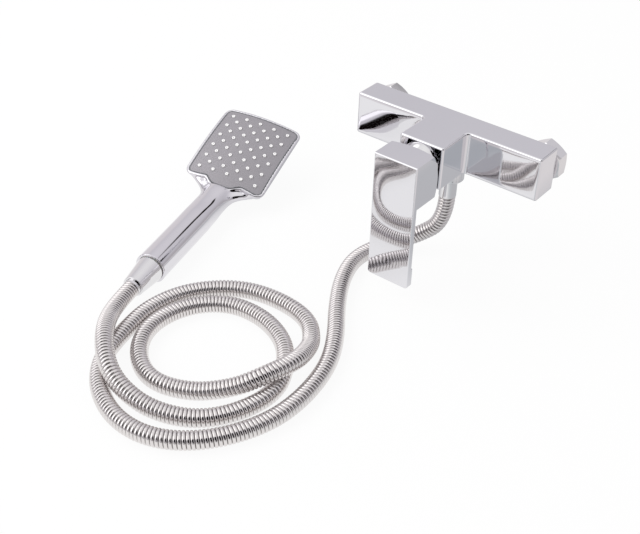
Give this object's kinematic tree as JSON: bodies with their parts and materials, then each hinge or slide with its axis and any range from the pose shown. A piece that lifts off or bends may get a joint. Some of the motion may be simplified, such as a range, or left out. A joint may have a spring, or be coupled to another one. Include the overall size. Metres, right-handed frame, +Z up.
{
  "type": "wall shower mixer tap",
  "caption": "Square single-lever wall shower mixer with union nuts, ribbed hose coiled beside it and a slim hand shower; the lever lifts to open and turns to mix.",
  "frame": {"origin": "midway between the two inlets, in the rear plane of the union nuts, where they meet the wall", "axes": "+Y points into the wall along the inlets, +X runs along the bar to the cold inlet, +Z is up"},
  "size_m": [0.3445, 0.3648, 0.1349],
  "materials": {
    "chrome_body": "polished",
    "chrome_trim": "polished",
    "brass_raw": "satin",
    "rubber_black": "matte",
    "rubber_grey": "matte",
    "filter_mesh": "satin",
    "ceramic_disc": "satin",
    "acetal_white": "satin",
    "nylon_grey": "satin",
    "steel_spring": "polished",
    "hose_metal": "polished",
    "chromed_plastic": "polished",
    "faceplate_grey": "satin",
    "silicone_white": "satin"
  },
  "bodies": {
    "tap": {"tap_body": "chrome_body", "inlet_nipple_hot": "brass_raw", "inlet_nipple_cold": "brass_raw", "inlet_washer_hot": "rubber_black", "inlet_washer_cold": "rubber_black", "inlet_filter_hot": "filter_mesh", "inlet_filter_cold": "filter_mesh", "cartridge_base": "acetal_white", "cartridge_seals": "rubber_black", "fixed_disc": "ceramic_disc", "cartridge_housing": "acetal_white", "cartridge_nut": "brass_raw", "dome_collar": "chrome_trim", "outlet_nipple": "chrome_trim", "check_cage": "acetal_white", "check_spring": "steel_spring", "hose_washer_tap": "rubber_black", "hose_ferrule_tap": "chrome_trim", "hose_tube": "hose_metal", "hose_ferrule_handset": "chrome_trim", "hose_washer_handset": "rubber_black"},
    "rotor": {"cartridge_rotor": "nylon_grey", "stem_pin": "steel_spring"},
    "lever": {"lever_stem": "brass_raw", "lever_handle": "chrome_body", "handle_screw": "steel_spring", "screw_cap": "nylon_grey"},
    "carrier": {"disc_carrier": "nylon_grey", "moving_disc": "ceramic_disc"},
    "nut_hot": {"union_nut_hot": "chrome_trim"},
    "nut_cold": {"union_nut_cold": "chrome_trim"},
    "hose_nut_body": {"hose_nut": "chrome_trim"},
    "check_poppet_body": {"check_poppet": "nylon_grey"},
    "cone_nut": {"hose_cone_nut": "chrome_trim"},
    "handset": {"handset_connector": "acetal_white", "flow_limiter": "nylon_grey", "handset_shell": "chromed_plastic", "handset_water_tube": "acetal_white", "spray_chamber": "acetal_white", "chamber_screws": "steel_spring", "face_gasket": "rubber_grey", "faceplate": "faceplate_grey", "nozzle_mat": "silicone_white"}
  },
  "joints": [
    {"name": "lever_turn", "type": "hinge", "parent": "tap", "child": "rotor", "pos_m": [0, -0.072, 0], "axis": [0, -1, 0], "range_deg": [-45, 45]},
    {"name": "lever_lift", "type": "hinge", "parent": "rotor", "child": "lever", "pos_m": [0, -0.072, 0], "axis": [-1, 0, 0], "range_deg": [0, 20]},
    {"name": "disc_slide", "type": "slide", "parent": "rotor", "child": "carrier", "axis": [0, 0, -1], "range_m": [0, 0.0032]},
    {"name": "union_nut_hot_turn", "type": "hinge", "parent": "tap", "child": "nut_hot", "pos_m": [-0.075, 0, 0], "axis": [0, 1, 0], "continuous": true},
    {"name": "union_nut_cold_turn", "type": "hinge", "parent": "tap", "child": "nut_cold", "pos_m": [0.075, 0, 0], "axis": [0, 1, 0], "continuous": true},
    {"name": "hose_nut_turn", "type": "hinge", "parent": "tap", "child": "hose_nut_body", "pos_m": [0, -0.026, -0.03], "axis": [0, 0, 1], "continuous": true},
    {"name": "check_valve_slide", "type": "slide", "parent": "tap", "child": "check_poppet_body", "axis": [0, 0, -1], "range_m": [0, 0.002], "stiffness_N_per_m": 40, "springref_m": -0.001, "deforming": ["check_spring"]},
    {"name": "cone_nut_turn", "type": "hinge", "parent": "tap", "child": "cone_nut", "pos_m": [-0.16522, -0.21973, -0.1021], "axis": [-0.263, 0.9648, 0], "continuous": true},
    {"name": "handset_swivel", "type": "hinge", "parent": "tap", "child": "handset", "pos_m": [-0.16522, -0.21973, -0.1021], "axis": [-0.263, 0.9648, 0], "continuous": true}
  ],
  "couplings": [
    {"joint": "disc_slide", "follows": "lever_lift", "m_per_rad": 0.008955}
  ]
}
